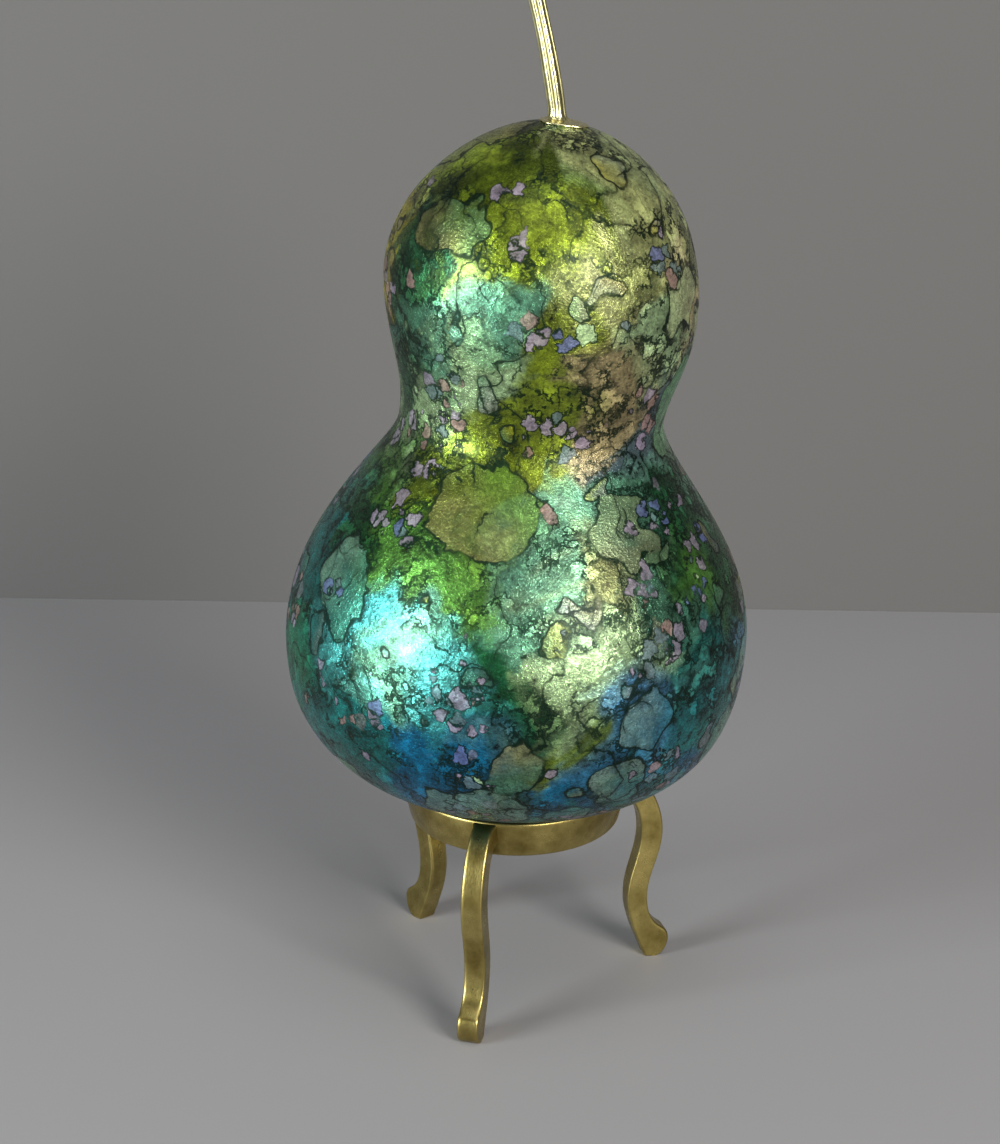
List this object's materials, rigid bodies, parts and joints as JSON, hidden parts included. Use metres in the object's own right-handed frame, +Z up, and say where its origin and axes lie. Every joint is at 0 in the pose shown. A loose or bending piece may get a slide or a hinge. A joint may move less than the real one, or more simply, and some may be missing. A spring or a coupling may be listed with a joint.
{
  "type": "painted bottle gourd on a tripod ring stand",
  "caption": "Dried bottle gourd with a ridged stem, painted all over, resting in a metal ring on splayed S-shaped legs.",
  "frame": {"origin": "middle of the bounding box at floor level, where the feet stand", "axes": "+Z up, from the feet to the stem's tip; -Y is the front, the side with the single forward leg; +X is to the viewer's right"},
  "size_m": [0.101, 0.101, 0.2342],
  "materials": {
    "painted_skin": "dried gourd skin under metallic inks in green, teal, blue and tan cells with fine dark outlines, satin clear coat",
    "gilded_stem": "dried ridged stalk gilded in pale gold, glossy",
    "stand_brass": "aged satin brass with darker stains and bright worn edges"
  },
  "bodies": {
    "root": {"gourd": "painted_skin", "gourd_stem": "gilded_stem", "stand_ring": "stand_brass", "stand_leg_front": "stand_brass", "stand_leg_right": "stand_brass", "stand_leg_back": "stand_brass"}
  },
  "joints": []
}
